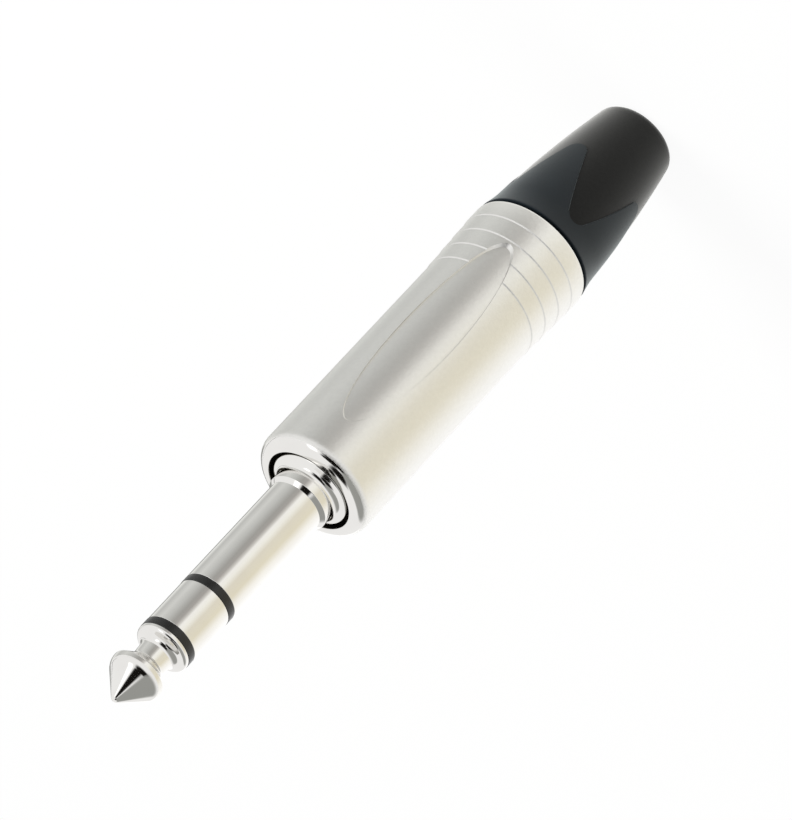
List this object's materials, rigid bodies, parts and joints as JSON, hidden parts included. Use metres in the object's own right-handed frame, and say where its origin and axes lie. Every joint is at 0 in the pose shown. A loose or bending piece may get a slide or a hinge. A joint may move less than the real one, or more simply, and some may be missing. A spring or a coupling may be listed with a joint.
{
  "type": "stereo jack plug",
  "caption": "Straight three-pole 6.35 mm jack plug with a stepped metal shell, a gland nut with pointed tongues and a tapered rubber boot.",
  "frame": {"origin": "centre of the boot's rear face, on the plug's axis", "axes": "+Z along the plug's axis towards the tip; +X towards the camera's side of the shell"},
  "size_m": [0.0144, 0.0144, 0.0946],
  "materials": {
    "satin_nickel": "satin, fine blasted nickel",
    "polished_nickel": "polished nickel",
    "black_collar": "glossy black",
    "carrier_plastic": "moulded black",
    "tinned_brass": "tinned sheet",
    "washer_fibre": "pale insulating sheet",
    "chuck_plastic": "natural moulded plastic",
    "gland_plastic": "semi-matt blue-black",
    "boot_rubber": "matt soft rubber"
  },
  "bodies": {
    "shell_and_finger": {"shell": "satin_nickel", "sleeve_contact": "polished_nickel", "ring_collar": "black_collar", "ring_tube": "black_collar", "ring_contact": "polished_nickel", "tip_collar": "black_collar", "tip_tube": "black_collar", "tip_contact": "polished_nickel", "contact_carrier": "carrier_plastic", "ground_lug": "tinned_brass", "ring_lug": "tinned_brass", "lug_washer": "washer_fibre", "tip_lug": "tinned_brass"},
    "chuck_body": {"chuck": "chuck_plastic"},
    "gland_and_boot": {"gland_nut": "gland_plastic", "boot": "boot_rubber"}
  },
  "joints": [
    {"name": "gland_travel", "type": "slide", "parent": "shell_and_finger", "child": "chuck_body", "axis": [0, 0, -1], "range_m": [0, 0.007]},
    {"name": "gland_turn", "type": "hinge", "parent": "chuck_body", "child": "gland_and_boot", "pos_m": [0, 0, 0.0205], "axis": [0, 0, -1], "range_deg": [0, 2520]}
  ],
  "couplings": [
    {"joint": "gland_turn", "follows": "gland_travel", "rad_per_m": 6283.2}
  ]
}
